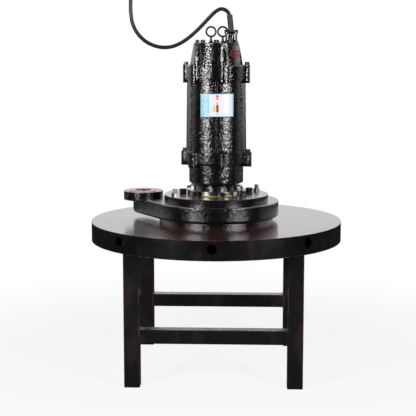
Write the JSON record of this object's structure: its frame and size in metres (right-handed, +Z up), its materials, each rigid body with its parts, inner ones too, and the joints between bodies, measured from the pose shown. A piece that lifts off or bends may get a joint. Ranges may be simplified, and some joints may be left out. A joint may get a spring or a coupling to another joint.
{
  "type": "submersible aerator",
  "caption": "Centrifugal submersible aerator: a ribbed motor on an air chamber with a side inlet flange, over a flat mixing disc with radial outlets on a welded four-leg stand.",
  "frame": {"origin": "on the floor under the motor shaft, at the centre of the four feet", "axes": "+Z up along the motor shaft, -Y towards the front, +X to the right; the air inlet is at the left rear"},
  "size_m": [1, 1, 1.5575],
  "materials": {
    "stand_paint": "satin black paint over welded square tube",
    "disc_paint": "dark brown-black enamel, glossy on top",
    "casting_black": "gloss black enamel over rough cast skin",
    "cover_primer": "pale pinkish primer, turned face",
    "bolt_black": "black painted fastener",
    "bolt_zinc": "bright zinc plated fastener",
    "steel_machined": "bare turned steel",
    "spacer_yellow": "yellow paint",
    "shaft_steel": "ground steel",
    "bearing_steel": "polished bearing steel",
    "core_steel": "stacked electrical sheet",
    "copper_winding": "varnished copper winding",
    "rotor_aluminium": "cast aluminium",
    "impeller_iron": "cast iron, uncoated",
    "seal_carbide": "lapped carbide",
    "seal_rubber": "black rubber",
    "cable_rubber": "dark brown-black cable sheath",
    "terminal_plastic": "brown moulded insulator",
    "plate_white": "printed plate, white and pale cyan",
    "plate_red": "red rotation arrow"
  },
  "bodies": {
    "aerator_frame": {"stand_legs": "stand_paint", "stand_crossbars": "stand_paint", "disc_bottom_plate": "disc_paint", "disc_top_plate": "disc_paint", "disc_rim": "disc_paint", "diffuser_vanes": "disc_paint", "suction_cover": "casting_black", "suction_fasteners": "bolt_zinc", "suction_strainer": "steel_machined", "air_chamber": "casting_black", "chamber_bolts": "bolt_zinc", "air_guide": "impeller_iron", "guide_bolts": "bolt_black", "cover_plate": "cover_primer", "cover_studs_and_nuts": "bolt_zinc", "spacer_ring": "spacer_yellow", "adapter_flange": "steel_machined", "adapter_studs_and_nuts": "bolt_zinc", "adapter_screws": "bolt_zinc", "oil_chamber": "casting_black", "oil_plug": "bolt_zinc", "bearing_bracket": "impeller_iron", "bearing_cap": "impeller_iron", "bearing_cap_screws": "bolt_zinc", "motor_casing": "casting_black", "casing_seal_rings": "seal_rubber", "rating_plate": "plate_white", "lower_flange_bolts": "bolt_black", "stator_core": "core_steel", "stator_windings": "copper_winding", "top_cover": "casting_black", "upper_flange_bolts": "bolt_black", "arrow_plate": "plate_red", "terminal_block": "terminal_plastic", "terminal_lid": "casting_black", "lid_screws": "bolt_black", "lifting_eyes": "bolt_black", "cable_gland": "casting_black", "gland_clamp": "casting_black", "gland_bolts": "bolt_black", "cable_boot": "seal_rubber", "cable": "cable_rubber", "cable_hanger": "bolt_zinc", "lower_bearing_outer_race": "bearing_steel", "upper_bearing_outer_race": "bearing_steel", "seal_seats": "seal_carbide"},
    "rotor": {"rotor_shaft": "shaft_steel", "impeller_key": "shaft_steel", "rotor_core": "core_steel", "rotor_end_rings": "rotor_aluminium", "lower_bearing_inner_race": "bearing_steel", "upper_bearing_inner_race": "bearing_steel", "seal_rings": "seal_carbide", "seal_spring": "shaft_steel", "impeller": "impeller_iron", "impeller_nut": "bolt_zinc"},
    "lower_ball_set": {"lower_bearing_balls": "bearing_steel", "lower_bearing_cage": "bearing_steel"},
    "upper_ball_set": {"upper_bearing_balls": "bearing_steel", "upper_bearing_cage": "bearing_steel"}
  },
  "joints": [
    {"name": "rotor_spin", "type": "hinge", "parent": "aerator_frame", "child": "rotor", "pos_m": [0, 0, 0.91], "axis": [0, 0, 1], "continuous": true},
    {"name": "lower_ball_spin", "type": "hinge", "parent": "aerator_frame", "child": "lower_ball_set", "pos_m": [0, 0, 0.8695], "axis": [0, 0, 1], "continuous": true},
    {"name": "upper_ball_spin", "type": "hinge", "parent": "aerator_frame", "child": "upper_ball_set", "pos_m": [0, 0, 1.2005], "axis": [0, 0, 1], "continuous": true}
  ],
  "couplings": [
    {"joint": "lower_ball_spin", "follows": "rotor_spin", "ratio": 0.38125},
    {"joint": "upper_ball_spin", "follows": "rotor_spin", "ratio": 0.38462}
  ]
}
